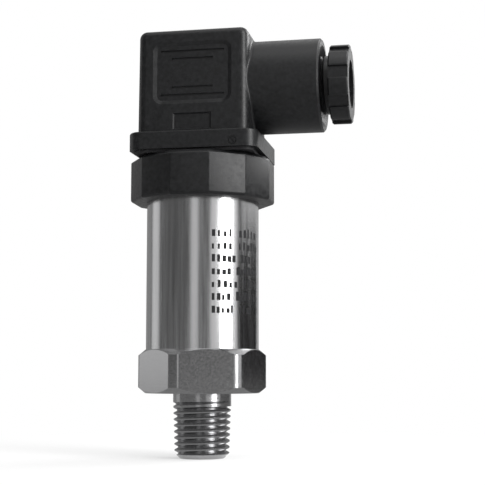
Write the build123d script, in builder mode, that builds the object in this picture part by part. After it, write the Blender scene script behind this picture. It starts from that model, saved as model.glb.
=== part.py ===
"""Pressure transmitter with a right-angle cable plug.

A hexagonal process connection with a tapered thread carries a steel tube that holds the
sensor and its electronics. A twelve-sided moulded base closes the tube and carries four
blade contacts. The cable plug pushes down over the blades and is held by one long screw.
The origin is the centre of the hexagon's underside, +Z points up to the plug and +X
points out of the cable gland. All sizes are in millimetres.
"""

import os
from math import atan2, cos, degrees, radians, sin, tan

from build123d import *

# Process connection: spanner hexagon, turned neck and tapered thread
hex_flats = 27.0
hex_corner_diameter = 29.95
hex_height = 10.1
hex_turn = 17.0
hex_edge_drop = 1.35
hex_edge_radius = 13.35
neck_diameter = 13.6
neck_length = 3.0
thread_diameter = 13.5
thread_length = 12.0
thread_taper = 1 / 16
thread_tip_chamfer = 1.2
port_diameter = 6.0

# Housing tube
tube_diameter = 26.5
tube_wall = 1.25
tube_length = 37.6
seat_gap = 0.05

# Pressure cell and its seat inside the process connection
cell_diameter = 18.0
cell_height = 6.35
cell_edge = 0.4
cell_notch_radius = 1.0
cell_notches = 3
cell_floor_height = 12.0
seal_inner_diameter = 10.0
seal_width = 2.3
seal_height = 1.4
seal_groove_clearance = 0.1
clamp_ring_diameter = 20.0
clamp_ring_bore = 13.0
clamp_ring_height = 4.0
clamp_ring_step = 0.35
clamp_slot_width = 2.0
clamp_slot_depth = 1.5
boss_rim = 1.65

# Electronics
board_thickness = 1.6
board_rest = 1.25
board_corner_notch = 2.5
board_tab_width = 3.0
board_tab_spacing = 9.0
board_slot_clearance = 0.1
carrier_gap = 0.2
carrier_rim = 3.05
carrier_height = 3.0
carrier_slot_depth = 1.5
link_board_drop = 1.0
link_board_rim = 1.0
link_board_thickness = 1.6
chip_length = 7.5
chip_width = 5.0
chip_thickness = 1.75
chip_rise = 5.5
chip_draft = 8
capacitor_length = 1.6
capacitor_width = 0.8
capacitor_thickness = 0.9
capacitor_pitch = 2.4
capacitor_rise = 3.2
capacitors = 4
trimmer_size = 4.6
trimmer_depth = 3.4
trimmer_spacing = 9.0
trimmer_dial_diameter = 2.6
trimmer_dial_height = 0.5
lead_diameter = 0.6
lead_pitch = 2.54
leads = 4
lead_overlap = 2.4

# Twelve-sided connector base
collar_corner_diameter = 34.32
collar_sides = 12
collar_facet_height = 9.5
collar_edge_drop = 0.9
collar_edge_inset = 1.3
collar_lip = 0.4
socket_depth = 3.0
plinth_depth = 1.2
base_seal_width = 1.6
base_seal_depth = 0.9
base_seal_drop = 0.4

# Blade contacts, on a cross around the screw
blade_spacing = 18.0
blade_width = 6.3
blade_thickness = 0.8
blade_reach = 11.5
blade_tip = 0.9
blade_root = 7.2
tail_width = 2.0
tail_length = 3.1
tail_clearance = 0.15
insert_diameter = 5.0
insert_length = 8.0
insert_groove = 0.25
insert_grooves = 2

# Plug gasket
gasket_thickness = 1.5
gasket_inset = 1.35
gasket_slot_clearance = 0.4
gasket_hole = 5.0

# Plug housing: flange, drafted body and gland neck
joint_gap = 0.6
flange_step_left = 1.67
flange_step_right = 2.29
flange_step_front = 2.25
flange_height = 4.15
flange_corner = 3.23
body_margin_width = 8.38
body_margin_depth = 6.2
body_height = 24.5
body_corner = 2.2
body_top_edge = 1.8
body_edge_margin = 0.1
flange_top_edge = 0.5
draft = 0.5
housing_wall = 1.5
roof_thickness = 1.8
neck_axis_drop = 12.16
gland_neck_diameter = 22.08
gland_neck_length = 15.97
gland_neck_edge = 0.4
gland_neck_root = 0.6

# Relief on the front face of the plug housing
panel_width = 18.6
panel_height = 14.7
panel_corner = 2.2
panel_depth = 0.4
panel_slope = 0.9
panel_middle_drop = 10.5
line_width = 0.5
line_depth = 0.35
long_line = 15.0
short_line = 9.7
long_line_rise = 5.2
short_line_rise = 3.4
tablet_width = 9.0
tablet_height = 3.85
tablet_rise = 2.55
tablet_depth = 0.35
tablet_slope = 0.3
mark_radius = 1.0
mark_width = 0.3
mark_across = 10.0
mark_rise = 1.3
mark_depth = 0.25

# Screw tunnel through the plug
tunnel_diameter = 7.2
tunnel_bore = 3.6
recess_diameter = 7.4
recess_depth = 4.2
recess_wall = 1.5

# Terminal block and its contacts
block_gap = 0.1
block_height = 11.5
block_corner = 1.2
block_floor = 1.1
block_hole = 4.0
socket_wall = 0.45
socket_side = 0.6
socket_top = 0.6
blade_clearance = 0.15
chamber_clearance = 0.05
clamp_length = 4.0
clamp_width = 5.2
clamp_height = 5.2
wire_hole = 2.4
wire_hole_drop = 3.3
clamp_screw_diameter = 2.5
clamp_screw_length = 2.7
clamp_screw_head_diameter = 3.8
clamp_screw_head_height = 1.4
clamp_screw_slot_width = 0.6
clamp_screw_slot_depth = 0.7

# Plug screw
screw_diameter = 2.9
screw_tip_depth = 6.0
screw_head_diameter = 5.6
screw_head_height = 2.6
screw_edge = 0.3
screw_slot_width = 0.9
screw_slot_depth = 1.2
screw_washer_diameter = 6.6
screw_washer_thickness = 0.8
running_gap = 0.1

# Cable gland
gland_bore = 14.0
gland_mouth = 19.0
gland_ledge_depth = 1.0
gland_ledge_bore = 8.4
gland_seal_length = 6.0
gland_seal_bore = 6.5
gland_washer_thickness = 1.0
gland_washer_bore = 8.2
gland_stem_diameter = 13.8
gland_stem_play = 0.1
gland_head_diameter = 18.54
gland_head_gap = 1.9
gland_head_length = 4.63
gland_head_edge = 0.3
gland_screw_bore = 7.6
gland_screw_mouth = 11.4
gland_screw_mouth_depth = 3.0
lobes = 8
lobe_turn = 38.5
lobe_groove_width = 2.9
lobe_groove_depth = 0.7

# Heights that follow from the sizes above
spigot_tip = -(neck_length + thread_length)
thread_tip_radius = thread_diameter / 2 - thread_length * thread_taper / 2
cell_top = cell_floor_height + cell_height
boss_top = cell_top + clamp_ring_height + boss_rim
carrier_top = boss_top + carrier_height
board_bottom = carrier_top - carrier_slot_depth
tube_top = hex_height + tube_length
collar_bottom = tube_top - socket_depth
plinth_bottom = collar_bottom - plinth_depth
link_board_top = plinth_bottom - link_board_drop
board_top = link_board_top - link_board_thickness
collar_facet_top = collar_bottom + collar_facet_height
base_top = collar_facet_top + collar_edge_drop
flange_bottom = base_top + joint_gap
flange_top = flange_bottom + flange_height
body_top = flange_top + body_height
gasket_top = base_top + gasket_thickness
block_bottom = gasket_top + block_gap
block_top = block_bottom + block_height
socket_floor = block_bottom + block_floor
blade_top = base_top + blade_reach
blade_shoulder = base_top - blade_root
tube_bore = tube_diameter - 2 * tube_wall
core_diameter = tube_bore - 2 * seat_gap
blade_circle = blade_spacing / 2
body_width = blade_spacing + body_margin_width
body_depth = blade_spacing + body_margin_depth
flange_left = body_width / 2 + flange_step_left
flange_right = body_width / 2 + flange_step_right
flange_depth = body_depth + 2 * flange_step_front
gland_neck_reach = body_width / 2 + gland_neck_length
link_board_diameter = 2 * (blade_circle + blade_thickness / 2 + tail_clearance + link_board_rim)
carrier_diameter = tube_bore - 2 * carrier_gap
carrier_bore = carrier_diameter - 2 * carrier_rim
board_width = carrier_bore + 2 * board_rest
gland_height = body_top - neck_axis_drop
recess_floor = body_top - recess_depth
screw_head_bottom = recess_floor + screw_washer_thickness
board_face = board_thickness / 2

blade_places = {"pin_1": 0, "pin_2": 180, "pin_3": 90, "earth_pin": 270}
contact_names = {"pin_1": "contact_1", "pin_2": "contact_2", "pin_3": "contact_3", "earth_pin": "earth_contact"}

os.makedirs("parts", exist_ok=True)


def save(block, name):
    """Label a finished piece and write it to its own file."""
    block.part.label = name
    export_step(block.part, f"parts/{name}.step")


def radial_plane(turn, height, radius=0.0):
    """A level plane whose X points outwards at the given turn about the vertical axis."""
    outward = Vector(cos(radians(turn)), sin(radians(turn)), 0)
    return Plane(origin=outward * radius + Vector(0, 0, height), x_dir=outward, z_dir=(0, 0, 1))


def blade_plane(turn):
    """An upright plane through a blade's middle: X along its width, Y up, normal outwards."""
    outward = Vector(cos(radians(turn)), sin(radians(turn)), 0)
    across = Vector(-sin(radians(turn)), cos(radians(turn)), 0)
    return Plane(origin=outward * blade_circle, x_dir=across, z_dir=outward)


def housing_front(height):
    """The plug body's drafted front face, with the origin at the given height."""
    lean = tan(radians(draft)) * (height - flange_top)
    tilt = radians(draft)
    return Plane(origin=(0, lean - body_depth / 2, height), x_dir=(1, 0, 0), z_dir=(0, -cos(tilt), sin(tilt)))


# Process connection
port_radius = port_diameter / 2
cell_pocket_radius = cell_diameter / 2 + 2 * seat_gap
clamp_bore_radius = clamp_ring_diameter / 2 + seat_gap
clamp_bore_floor = cell_top - clamp_ring_step
hex_rim_radius = hex_corner_diameter / 2
with BuildPart() as process_connection:
    with BuildSketch(Plane.XY):
        RegularPolygon(radius=hex_flats / 2, side_count=6, major_radius=False, rotation=hex_turn)
    extrude(amount=hex_height)
    with BuildSketch(Plane.XZ):
        with BuildLine():
            Polyline(
                (0, 0),
                (hex_edge_radius, 0),
                (hex_rim_radius, hex_edge_drop),
                (hex_rim_radius, hex_height - hex_edge_drop),
                (hex_edge_radius, hex_height),
                (0, hex_height),
                close=True,
            )
        make_face()
    revolve(axis=Axis.Z, mode=Mode.INTERSECT)
    with BuildSketch(Plane.XZ):
        with BuildLine():
            Polyline(
                (0, boss_top),
                (core_diameter / 2, boss_top),
                (core_diameter / 2, hex_height / 2),
                (neck_diameter / 2, hex_height / 2),
                (neck_diameter / 2, -neck_length),
                (thread_diameter / 2, -neck_length),
                (thread_tip_radius, spigot_tip + thread_tip_chamfer),
                (thread_tip_radius - thread_tip_chamfer, spigot_tip),
                (0, spigot_tip),
                close=True,
            )
        make_face()
    revolve(axis=Axis.Z)
    with BuildSketch(Plane.XZ):
        with BuildLine():
            Polyline(
                (0, spigot_tip),
                (port_radius, spigot_tip),
                (port_radius, cell_floor_height),
                (cell_pocket_radius, cell_floor_height),
                (cell_pocket_radius, clamp_bore_floor),
                (clamp_bore_radius, clamp_bore_floor),
                (clamp_bore_radius, boss_top),
                (0, boss_top),
                close=True,
            )
        make_face()
    revolve(axis=Axis.Z, mode=Mode.SUBTRACT)
    with BuildSketch(Plane.XY.offset(cell_floor_height)):
        Circle(seal_inner_diameter / 2 + seal_width + seal_groove_clearance)
        Circle(seal_inner_diameter / 2 - seal_groove_clearance, mode=Mode.SUBTRACT)
    extrude(amount=-seal_height, mode=Mode.SUBTRACT)
save(process_connection, "process_connection")


# Seal under the pressure cell
with BuildPart() as cell_seal:
    with BuildSketch(Plane.XZ):
        with Locations((seal_inner_diameter / 2 + seal_width / 2, cell_floor_height - seal_height / 2)):
            RectangleRounded(seal_width, seal_height, seal_height * 0.45)
    revolve(axis=Axis.Z)
save(cell_seal, "cell_seal")


# Ceramic pressure cell with key notches in its rim
with BuildPart() as pressure_cell:
    with BuildSketch(Plane.XY.offset(cell_floor_height)):
        Circle(cell_diameter / 2)
        with PolarLocations(cell_diameter / 2, cell_notches):
            Circle(cell_notch_radius, mode=Mode.SUBTRACT)
    extrude(amount=cell_height)
    chamfer(pressure_cell.faces().sort_by(Axis.Z)[-1].edges(), length=cell_edge)
save(pressure_cell, "pressure_cell")


# Threaded ring that clamps the cell down on its seal
with BuildPart() as clamp_ring:
    with BuildSketch(Plane.XY.offset(cell_top)):
        Circle(clamp_ring_diameter / 2)
        Circle(clamp_ring_bore / 2, mode=Mode.SUBTRACT)
    extrude(amount=clamp_ring_height)
    with BuildSketch(Plane.XY.offset(cell_top + clamp_ring_height)):
        Rectangle(clamp_slot_width, clamp_ring_diameter)
    extrude(amount=-clamp_slot_depth, mode=Mode.SUBTRACT)
save(clamp_ring, "clamp_ring")


# Leads from the cell up to the circuit board
with BuildPart() as cell_leads:
    with BuildSketch(Plane.XY.offset(cell_top)):
        with Locations((0, -(board_face + lead_diameter / 2 + seat_gap))):
            with GridLocations(lead_pitch, lead_pitch, leads, 1):
                Circle(lead_diameter / 2)
    extrude(amount=board_bottom + lead_overlap - cell_top)
save(cell_leads, "cell_leads")


# Housing tube
with BuildPart() as housing_tube:
    with BuildSketch(Plane.XY.offset(hex_height)):
        Circle(tube_diameter / 2)
        Circle(tube_bore / 2, mode=Mode.SUBTRACT)
    extrude(amount=tube_length)
save(housing_tube, "housing_tube")


# Moulded ring that stands on the boss and holds the circuit board upright
with BuildPart() as board_carrier:
    with BuildSketch(Plane.XY.offset(boss_top)):
        Circle(carrier_diameter / 2)
        Circle(carrier_bore / 2, mode=Mode.SUBTRACT)
    extrude(amount=carrier_height)
    with BuildSketch(Plane.XY.offset(carrier_top)):
        Rectangle(board_width + 2 * board_slot_clearance, board_thickness + 2 * board_slot_clearance)
    extrude(amount=-carrier_slot_depth, mode=Mode.SUBTRACT)
save(board_carrier, "board_carrier")


# Upright circuit board with two tabs for the link board
notch_half_width = board_width / 2 - board_corner_notch
with BuildPart() as circuit_board:
    with BuildSketch(Plane.XZ):
        with BuildLine():
            Polyline(
                (0, board_bottom),
                (board_width / 2, board_bottom),
                (board_width / 2, board_top - board_corner_notch),
                (notch_half_width, board_top - board_corner_notch),
                (notch_half_width, board_top),
                (0, board_top),
            )
            mirror(about=Plane.YZ)
        make_face()
        with GridLocations(board_tab_spacing, 0, 2, 1):
            with Locations((0, board_top + link_board_thickness / 2)):
                Rectangle(board_tab_width, link_board_thickness)
    extrude(amount=board_thickness / 2, both=True)
save(circuit_board, "circuit_board")


# Round link board that joins the blades' tails to the circuit board
with BuildPart() as link_board:
    with BuildSketch(Plane.XY.offset(board_top)):
        Circle(link_board_diameter / 2)
        with GridLocations(board_tab_spacing, 0, 2, 1):
            Rectangle(
                board_tab_width + 2 * board_slot_clearance,
                board_thickness + 2 * board_slot_clearance,
                mode=Mode.SUBTRACT,
            )
        with PolarLocations(blade_circle, len(blade_places)):
            Rectangle(
                blade_thickness + 2 * tail_clearance,
                tail_width + 2 * tail_clearance,
                mode=Mode.SUBTRACT,
            )
    extrude(amount=link_board_thickness)
save(link_board, "link_board")


# Parts soldered to the circuit board: the chip in front, the rest behind
trimmer_height = board_top - board_corner_notch - trimmer_size / 2
with BuildPart() as amplifier_chip:
    with BuildSketch(Plane.XZ.offset(board_face)):
        with Locations((0, board_bottom + chip_rise)):
            Rectangle(chip_length, chip_width)
    extrude(amount=chip_thickness, taper=chip_draft)
save(amplifier_chip, "amplifier_chip")

with BuildPart() as board_capacitors:
    with BuildSketch(Plane.XZ.offset(-board_face)):
        with Locations((0, board_bottom + capacitor_rise)):
            with GridLocations(capacitor_pitch, 1, capacitors, 1):
                Rectangle(capacitor_length, capacitor_width)
    extrude(amount=-capacitor_thickness)
save(board_capacitors, "board_capacitors")

with BuildPart() as board_trimmers:
    with BuildSketch(Plane.XZ.offset(-board_face)):
        with Locations((0, trimmer_height)):
            with GridLocations(trimmer_spacing, 1, 2, 1):
                Rectangle(trimmer_size, trimmer_size)
    extrude(amount=-trimmer_depth)
    with BuildSketch(Plane.XZ.offset(-board_face - trimmer_depth)):
        with Locations((0, trimmer_height)):
            with GridLocations(trimmer_spacing, 1, 2, 1):
                Circle(trimmer_dial_diameter / 2)
                Rectangle(trimmer_dial_diameter, trimmer_dial_height, mode=Mode.SUBTRACT)
    extrude(amount=-trimmer_dial_height)
save(board_trimmers, "board_trimmers")


# Twelve-sided connector base: collar, socket for the tube and core
collar_edge_angle = degrees(atan2(collar_edge_inset, collar_edge_drop))
with BuildPart() as connector_base:
    with BuildSketch(Plane.XY.offset(collar_bottom)):
        RegularPolygon(radius=collar_corner_diameter / 2, side_count=collar_sides, rotation=hex_turn)
    extrude(amount=collar_facet_height)
    chamfer(connector_base.faces().sort_by(Axis.Z)[0].edges(), length=collar_lip)
    with BuildSketch(Plane.XY.offset(collar_facet_top)):
        RegularPolygon(radius=collar_corner_diameter / 2, side_count=collar_sides, rotation=hex_turn)
    extrude(amount=collar_edge_drop, taper=collar_edge_angle)
    with BuildSketch(Plane.XY.offset(collar_bottom)):
        Circle(tube_diameter / 2 + seat_gap)
    extrude(amount=socket_depth, mode=Mode.SUBTRACT)
    with BuildSketch(Plane.XY.offset(plinth_bottom)):
        Circle(core_diameter / 2)
    extrude(amount=socket_depth + plinth_depth)
    with BuildSketch(Plane.XY.offset(tube_top - base_seal_drop)):
        Circle(core_diameter / 2)
        Circle(core_diameter / 2 - base_seal_depth, mode=Mode.SUBTRACT)
    extrude(amount=-base_seal_width, mode=Mode.SUBTRACT)
    with BuildSketch(Plane.XY.offset(base_top)):
        Circle(insert_diameter / 2 + seat_gap)
    extrude(amount=-insert_length, mode=Mode.SUBTRACT)
    with BuildSketch(Plane.XY.offset(blade_shoulder)):
        with PolarLocations(blade_circle, len(blade_places)):
            Rectangle(blade_thickness, blade_width)
    extrude(amount=blade_root, mode=Mode.SUBTRACT)
    with BuildSketch(Plane.XY.offset(plinth_bottom)):
        with PolarLocations(blade_circle, len(blade_places)):
            Rectangle(blade_thickness, tail_width)
    extrude(amount=blade_shoulder - plinth_bottom, mode=Mode.SUBTRACT)
save(connector_base, "connector_base")


# Seal between the base and the tube
with BuildPart() as base_seal:
    with BuildSketch(Plane.XZ):
        with Locations(
            (
                core_diameter / 2 - base_seal_depth + (base_seal_depth + seat_gap) / 2,
                tube_top - base_seal_drop - base_seal_width / 2,
            )
        ):
            RectangleRounded(base_seal_depth, base_seal_width - seat_gap, base_seal_depth * 0.4)
    revolve(axis=Axis.Z)
save(base_seal, "base_seal")


# Threaded brass insert for the plug screw, with two retaining grooves
with BuildPart() as screw_insert:
    with BuildSketch(Plane.XY.offset(base_top)):
        Circle(insert_diameter / 2)
        Circle(screw_diameter / 2 + running_gap, mode=Mode.SUBTRACT)
    extrude(amount=-insert_length)
    for groove in range(insert_grooves):
        depth = insert_length * (groove + 1) / (insert_grooves + 1)
        with BuildSketch(Plane.XY.offset(base_top - depth)):
            Circle(insert_diameter / 2)
            Circle(insert_diameter / 2 - insert_groove, mode=Mode.SUBTRACT)
        extrude(amount=insert_groove, both=True, mode=Mode.SUBTRACT)
save(screw_insert, "screw_insert")


# Blade contacts with a narrow tail for the link board
for name, turn in blade_places.items():
    with BuildPart() as blade:
        with BuildSketch(blade_plane(turn)):
            with BuildLine():
                Polyline(
                    (0, blade_top),
                    (blade_width / 2 - blade_tip, blade_top),
                    (blade_width / 2, blade_top - blade_tip),
                    (blade_width / 2, blade_shoulder),
                    (tail_width / 2, blade_shoulder),
                    (tail_width / 2, plinth_bottom - tail_length),
                    (0, plinth_bottom - tail_length),
                )
                mirror(about=Plane.YZ)
            make_face()
        extrude(amount=blade_thickness / 2, both=True)
    save(blade, name)


# Gasket between the base and the plug
with BuildPart() as plug_gasket:
    with BuildSketch(Plane.XY.offset(base_top)):
        with Locations(((flange_right - flange_left) / 2, 0)):
            RectangleRounded(
                flange_left + flange_right - 2 * gasket_inset,
                flange_depth - 2 * gasket_inset,
                flange_corner - gasket_inset,
            )
        Circle(gasket_hole / 2, mode=Mode.SUBTRACT)
        with PolarLocations(blade_circle, len(blade_places)):
            Rectangle(
                blade_thickness + 2 * gasket_slot_clearance,
                blade_width + 2 * gasket_slot_clearance,
                mode=Mode.SUBTRACT,
            )
    extrude(amount=gasket_thickness)
save(plug_gasket, "plug_gasket")


# Plug housing: flange, drafted body, gland neck and front relief in one moulding
flange_width = flange_left + flange_right
flange_shift = (flange_right - flange_left) / 2
cavity_width = body_width - 2 * housing_wall
cavity_depth = body_depth - 2 * housing_wall
roof_underside = body_top - roof_thickness
neck_start = cavity_width / 2 + housing_wall / 2
ledge_face = cavity_width / 2 + housing_wall + gland_ledge_depth
panel_middle = body_top - panel_middle_drop
# The top edge stays under the corner radius that the draft leaves at the top
corner_at_top = body_corner - body_height * tan(radians(draft))
top_edge = min(body_top_edge, corner_at_top - body_edge_margin)
with BuildPart() as plug_housing:
    with BuildSketch(Plane.XY.offset(flange_bottom)):
        with Locations((flange_shift, 0)):
            RectangleRounded(flange_width, flange_depth, flange_corner)
    extrude(amount=flange_height)
    fillet(plug_housing.faces().sort_by(Axis.Z)[-1].edges(), radius=flange_top_edge)
    with BuildSketch(Plane.XY.offset(flange_top)):
        RectangleRounded(body_width, body_depth, body_corner)
    extrude(amount=body_height, taper=draft)
    fillet(plug_housing.faces().sort_by(Axis.Z)[-1].edges(), radius=top_edge)
    with BuildSketch(Plane.YZ.offset(neck_start)):
        with Locations((0, gland_height)):
            Circle(gland_neck_diameter / 2)
    extrude(amount=gland_neck_reach - neck_start)
    fillet(plug_housing.edges(Select.NEW), radius=gland_neck_root)
    neck_rim = plug_housing.faces().sort_by(Axis.X)[-1].edges()
    chamfer(neck_rim, length=gland_neck_edge)
    with BuildSketch(Plane.XY.offset(flange_bottom)):
        with Locations((flange_shift, 0)):
            RectangleRounded(
                flange_width - 2 * (gasket_inset - 2 * block_gap),
                flange_depth - 2 * (gasket_inset - 2 * block_gap),
                flange_corner - gasket_inset + 2 * block_gap,
            )
    extrude(amount=gasket_thickness - joint_gap, mode=Mode.SUBTRACT)
    with BuildSketch(Plane.XY.offset(flange_bottom)):
        RectangleRounded(cavity_width, cavity_depth, block_corner)
    extrude(amount=roof_underside - flange_bottom, mode=Mode.SUBTRACT)
    with BuildSketch(Plane.XY.offset(block_top)):
        Circle(tunnel_diameter / 2)
    extrude(amount=body_top - block_top - roof_thickness / 2)
    with BuildSketch(Plane.XY.offset(recess_floor - recess_wall)):
        Circle(recess_diameter / 2 + recess_wall)
    extrude(amount=recess_depth + recess_wall - roof_thickness / 2)
    with BuildSketch(Plane.XY.offset(block_top)):
        Circle(tunnel_bore / 2)
    extrude(amount=body_top - block_top, mode=Mode.SUBTRACT)
    with BuildSketch(Plane.XY.offset(body_top)):
        Circle(recess_diameter / 2)
    extrude(amount=-recess_depth, mode=Mode.SUBTRACT)
    with BuildSketch(Plane.YZ.offset(gland_neck_reach)):
        with Locations((0, gland_height)):
            Circle(gland_bore / 2)
    extrude(amount=ledge_face - gland_neck_reach, mode=Mode.SUBTRACT)
    with BuildSketch(Plane.YZ.offset(ledge_face)):
        with Locations((0, gland_height)):
            Circle(gland_ledge_bore / 2)
    extrude(amount=-(housing_wall + 2 * gland_ledge_depth), mode=Mode.SUBTRACT)
    mouth_edge = (
        plug_housing.edges()
        .filter_by(GeomType.CIRCLE)
        .filter_by(lambda edge: abs(edge.radius - gland_bore / 2) < seat_gap)
        .sort_by(Axis.X)[-1]
    )
    chamfer(mouth_edge, length=(gland_mouth - gland_bore) / 2)
    with BuildSketch(housing_front(panel_middle)):
        RectangleRounded(panel_width, panel_height, panel_corner)
    extrude(amount=-panel_depth, taper=degrees(atan2(panel_slope, panel_depth)), mode=Mode.SUBTRACT)
    with BuildSketch(housing_front(panel_middle)):
        for rise, length in (
            (long_line_rise, long_line),
            (short_line_rise, short_line),
            (-short_line_rise, short_line),
            (-long_line_rise, long_line),
        ):
            with Locations((0, rise)):
                Rectangle(length, line_width)
    extrude(amount=-panel_depth - line_depth, mode=Mode.SUBTRACT)
    with BuildSketch(housing_front(flange_top + tablet_rise)):
        Rectangle(tablet_width, tablet_height)
    extrude(amount=-tablet_depth, taper=degrees(atan2(tablet_slope, tablet_depth)), mode=Mode.SUBTRACT)
    with BuildSketch(Plane.XZ.offset(flange_depth / 2)):
        with Locations((mark_across, flange_bottom + mark_rise)):
            Circle(mark_radius)
            Circle(mark_radius - mark_width, mode=Mode.SUBTRACT)
            Rectangle(2 * mark_radius, mark_width, rotation=-45)
    extrude(amount=-mark_depth, mode=Mode.SUBTRACT)
save(plug_housing, "plug_housing")


# Terminal block with four chambers that open upwards
socket_depth_across = blade_thickness + 2 * blade_clearance + 2 * socket_wall
socket_width = blade_width + 2 * blade_clearance + 2 * socket_side
socket_height = blade_top + blade_clearance + socket_top - socket_floor
contact_top = socket_floor + socket_height
clamp_middle = blade_circle - socket_depth_across / 2 - clamp_length / 2
with BuildPart() as terminal_block:
    with BuildSketch(Plane.XY.offset(block_bottom)):
        RectangleRounded(cavity_width - 2 * block_gap, cavity_depth - 2 * block_gap, block_corner)
        Circle(block_hole / 2, mode=Mode.SUBTRACT)
        with PolarLocations(blade_circle, len(blade_places)):
            Rectangle(
                blade_thickness + 4 * blade_clearance,
                blade_width + 4 * blade_clearance,
                mode=Mode.SUBTRACT,
            )
    extrude(amount=block_height)
    with BuildSketch(Plane.XY.offset(block_top)):
        with PolarLocations(blade_circle, len(blade_places)):
            Rectangle(socket_depth_across + 2 * chamber_clearance, socket_width + 2 * chamber_clearance)
    extrude(amount=socket_floor - block_top, mode=Mode.SUBTRACT)
    with BuildSketch(Plane.XY.offset(block_top)):
        with PolarLocations(clamp_middle, len(blade_places)):
            Rectangle(clamp_length + 2 * chamber_clearance, clamp_width + 2 * chamber_clearance)
    extrude(amount=contact_top - clamp_height - block_top, mode=Mode.SUBTRACT)
save(terminal_block, "terminal_block")


# Contacts: a socket for the blade and a clamp for the wire
for name, turn in blade_places.items():
    with BuildPart() as contact:
        with BuildSketch(radial_plane(turn, socket_floor, blade_circle)):
            Rectangle(socket_depth_across, socket_width)
        extrude(amount=socket_height)
        with BuildSketch(radial_plane(turn, contact_top, clamp_middle)):
            Rectangle(clamp_length, clamp_width)
        extrude(amount=-clamp_height)
        with BuildSketch(radial_plane(turn, socket_floor, blade_circle)):
            Rectangle(blade_thickness + 2 * blade_clearance, blade_width + 2 * blade_clearance)
        extrude(amount=socket_height - socket_top, mode=Mode.SUBTRACT)
        with BuildSketch(radial_plane(turn, contact_top, clamp_middle)):
            Circle(clamp_screw_diameter / 2 + seat_gap)
        extrude(amount=-wire_hole_drop, mode=Mode.SUBTRACT)
        level = radial_plane(turn, contact_top - wire_hole_drop, clamp_middle)
        with BuildSketch(Plane(origin=level.origin, x_dir=level.x_dir, z_dir=level.y_dir)):
            Circle(wire_hole / 2)
        extrude(amount=clamp_width / 2, both=True, mode=Mode.SUBTRACT)
    save(contact, contact_names[name])


# Slotted clamp screws, one on each contact
with BuildPart() as clamp_screws:
    with BuildSketch(Plane.XY.offset(contact_top)):
        with PolarLocations(clamp_middle, len(blade_places)):
            Circle(clamp_screw_head_diameter / 2)
    extrude(amount=clamp_screw_head_height)
    with BuildSketch(Plane.XY.offset(contact_top)):
        with PolarLocations(clamp_middle, len(blade_places)):
            Circle(clamp_screw_diameter / 2)
    extrude(amount=-clamp_screw_length)
    with BuildSketch(Plane.XY.offset(contact_top + clamp_screw_head_height)):
        with PolarLocations(clamp_middle, len(blade_places)):
            Rectangle(clamp_screw_slot_width, clamp_screw_head_diameter)
    extrude(amount=-clamp_screw_slot_depth, mode=Mode.SUBTRACT)
save(clamp_screws, "clamp_screws")


# Seal under the head of the plug screw
with BuildPart() as screw_washer:
    with BuildSketch(Plane.XY.offset(recess_floor)):
        Circle(screw_washer_diameter / 2)
        Circle(tunnel_bore / 2, mode=Mode.SUBTRACT)
    extrude(amount=screw_washer_thickness)
save(screw_washer, "screw_washer")


# Long screw that holds the plug down
with BuildPart() as plug_screw:
    with BuildSketch(Plane.XY.offset(screw_head_bottom)):
        Circle(screw_head_diameter / 2)
    extrude(amount=screw_head_height)
    chamfer(plug_screw.faces().sort_by(Axis.Z)[-1].edges(), length=screw_edge)
    with BuildSketch(Plane.XY.offset(screw_head_bottom)):
        Circle(screw_diameter / 2)
    extrude(amount=base_top - screw_tip_depth - screw_head_bottom)
    chamfer(plug_screw.faces().sort_by(Axis.Z)[0].edges(), length=screw_edge)
    with BuildSketch(Plane.XY.offset(screw_head_bottom + screw_head_height)):
        Rectangle(screw_head_diameter, screw_slot_width)
    extrude(amount=-screw_slot_depth, mode=Mode.SUBTRACT)
save(plug_screw, "plug_screw")


# Rubber seal and thrust washer inside the gland neck
with BuildPart() as gland_seal:
    with BuildSketch(Plane.YZ.offset(ledge_face)):
        with Locations((0, gland_height)):
            Circle(gland_bore / 2 - seat_gap)
            Circle(gland_seal_bore / 2, mode=Mode.SUBTRACT)
    extrude(amount=gland_seal_length)
save(gland_seal, "gland_seal")

with BuildPart() as gland_washer:
    with BuildSketch(Plane.YZ.offset(ledge_face + gland_seal_length)):
        with Locations((0, gland_height)):
            Circle(gland_bore / 2 - seat_gap)
            Circle(gland_washer_bore / 2, mode=Mode.SUBTRACT)
    extrude(amount=gland_washer_thickness)
save(gland_washer, "gland_washer")


# Hollow gland screw with a lobed head
stem_start = ledge_face + gland_seal_length + gland_washer_thickness + gland_stem_play
head_start = gland_neck_reach + gland_head_gap
head_end = head_start + gland_head_length
with BuildPart() as gland_screw:
    with BuildSketch(Plane.YZ.offset(head_start)):
        with Locations((0, gland_height)):
            Circle(gland_head_diameter / 2)
    extrude(amount=gland_head_length)
    chamfer(gland_screw.edges(), length=gland_head_edge)
    with BuildSketch(Plane.YZ.offset(head_start)):
        with Locations((0, gland_height)):
            with PolarLocations(gland_head_diameter / 2, lobes, start_angle=lobe_turn):
                Rectangle(2 * lobe_groove_depth, lobe_groove_width)
    extrude(amount=gland_head_length, mode=Mode.SUBTRACT)
    with BuildSketch(Plane.YZ.offset(stem_start)):
        with Locations((0, gland_height)):
            Circle(gland_stem_diameter / 2)
    extrude(amount=head_start - stem_start)
    with BuildSketch(Plane.YZ.offset(stem_start)):
        with Locations((0, gland_height)):
            Circle(gland_screw_bore / 2)
    extrude(amount=head_end - stem_start, mode=Mode.SUBTRACT)
    with BuildSketch(Plane.YZ.offset(head_end)):
        with Locations((0, gland_height)):
            Circle(gland_screw_mouth / 2)
    extrude(amount=-gland_screw_mouth_depth, mode=Mode.SUBTRACT)
save(gland_screw, "gland_screw")
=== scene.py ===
from functools import partial
from math import cos, hypot, pi, radians, sin

import bmesh
import bpy
from mathutils import Matrix, Vector


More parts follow.
